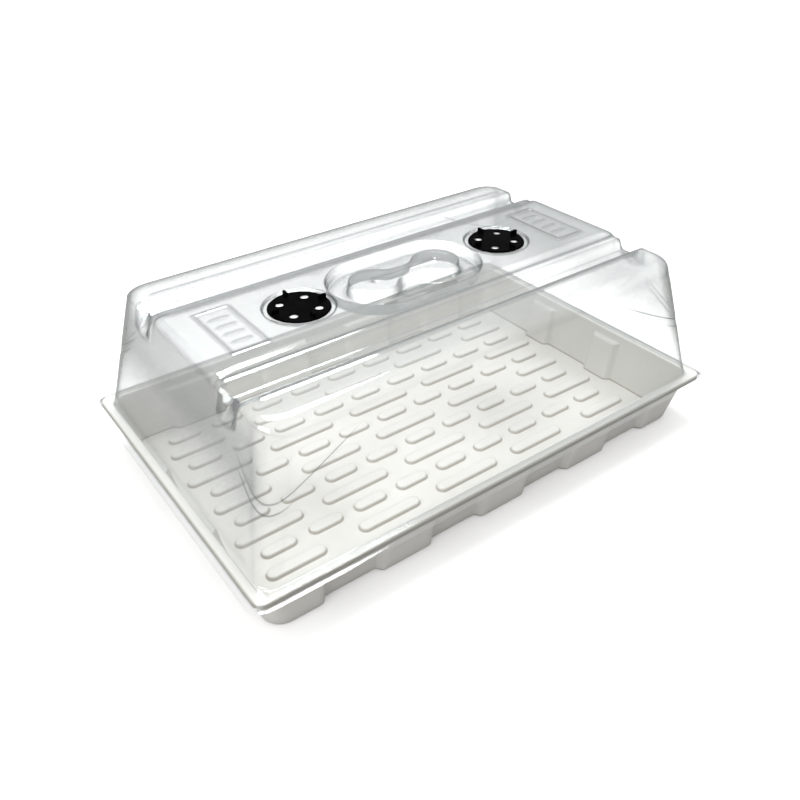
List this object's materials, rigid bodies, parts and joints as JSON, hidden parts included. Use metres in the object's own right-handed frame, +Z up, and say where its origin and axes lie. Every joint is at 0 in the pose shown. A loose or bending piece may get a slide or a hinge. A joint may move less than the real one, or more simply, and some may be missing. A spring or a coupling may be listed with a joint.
{
  "type": "humidity dome tray",
  "caption": "Rectangular seed tray with a ribbed floor and a clear lift-off dome that has a moulded hand hold and rotary vent shutters.",
  "frame": {"origin": "middle of the footprint, on the surface that the tray stands on", "axes": "+X along the long side, +Y across towards the back, +Z up"},
  "size_m": [0.6, 0.392, 0.2121],
  "materials": {
    "tray_white": "satin white polystyrene sheet",
    "dome_clear": "clear rigid sheet",
    "shutter_black": "moulded black"
  },
  "bodies": {
    "tray": {"tray": "tray_white"},
    "dome": {"dome": "dome_clear"},
    "shutter_left": {"vent_disc_left": "shutter_black"},
    "shutter_right": {"vent_disc_right": "shutter_black"}
  },
  "joints": [
    {"name": "dome_lift", "type": "slide", "parent": "tray", "child": "dome", "axis": [0, 0, 1], "range_m": [0, 0.16]},
    {"name": "shutter_left_turn", "type": "hinge", "parent": "dome", "child": "shutter_left", "pos_m": [-0.128, 0, 0.2058], "axis": [0, 0, 1], "range_deg": [0, 45]},
    {"name": "shutter_right_turn", "type": "hinge", "parent": "dome", "child": "shutter_right", "pos_m": [0.128, 0, 0.2058], "axis": [0, 0, 1], "range_deg": [0, 45]}
  ]
}
